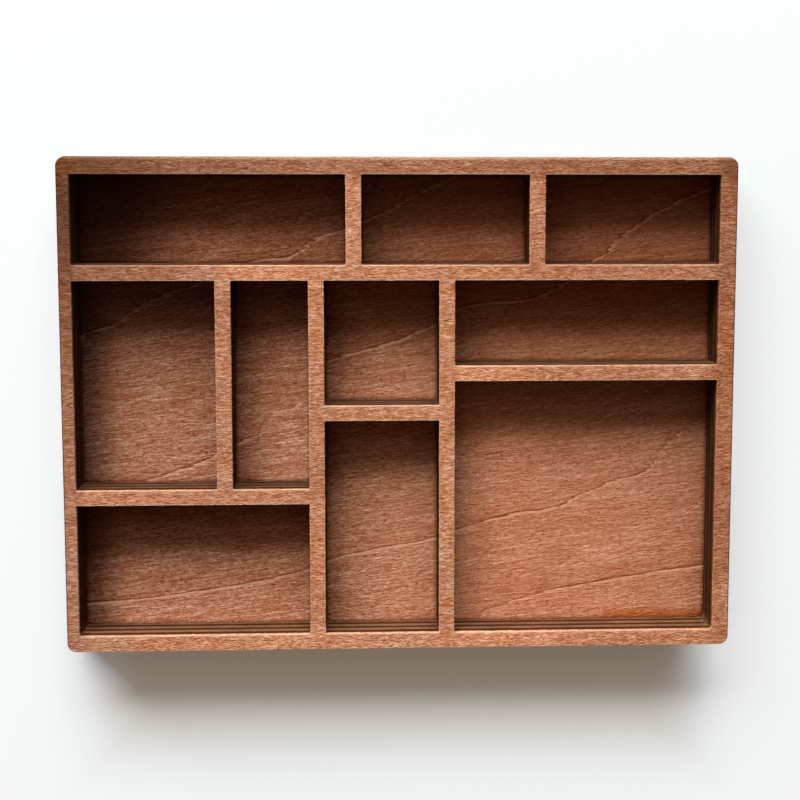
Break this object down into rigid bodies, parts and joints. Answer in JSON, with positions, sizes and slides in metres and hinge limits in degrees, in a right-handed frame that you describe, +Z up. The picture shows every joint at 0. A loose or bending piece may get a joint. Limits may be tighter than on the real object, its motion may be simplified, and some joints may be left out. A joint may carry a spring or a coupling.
{
  "type": "specimen display box",
  "caption": "Shallow open display tray of stacked plywood, divided by rails cut from the sheet into compartments of mixed sizes over one flat floor, to sort and show small specimens.",
  "frame": {"origin": "centre of the underside", "axes": "+X along the long side, with the largest compartment at the +X end; +Y towards the row of compartments along the back wall; +Z up out of the compartments"},
  "size_m": [0.3, 0.2214, 0.0198],
  "materials": {
    "rim": "stained, sanded, satin",
    "veneer": "stained edge of a face veneer, matt",
    "core": "stained edge of a cross core, matt",
    "floor": "stained veneer, satin",
    "underside": "stained veneer, matt"
  },
  "bodies": {
    "root": {"base_back_veneer": "underside", "base_cross_core": "core", "base_face_veneer": "floor", "bottom_sheet_back_veneer": "veneer", "bottom_sheet_cross_core": "core", "bottom_sheet_face_veneer": "veneer", "middle_sheet_back_veneer": "veneer", "middle_sheet_cross_core": "core", "middle_sheet_face_veneer": "veneer", "top_sheet_back_veneer": "veneer", "top_sheet_cross_core": "core", "top_sheet_face_veneer": "rim"}
  },
  "joints": []
}
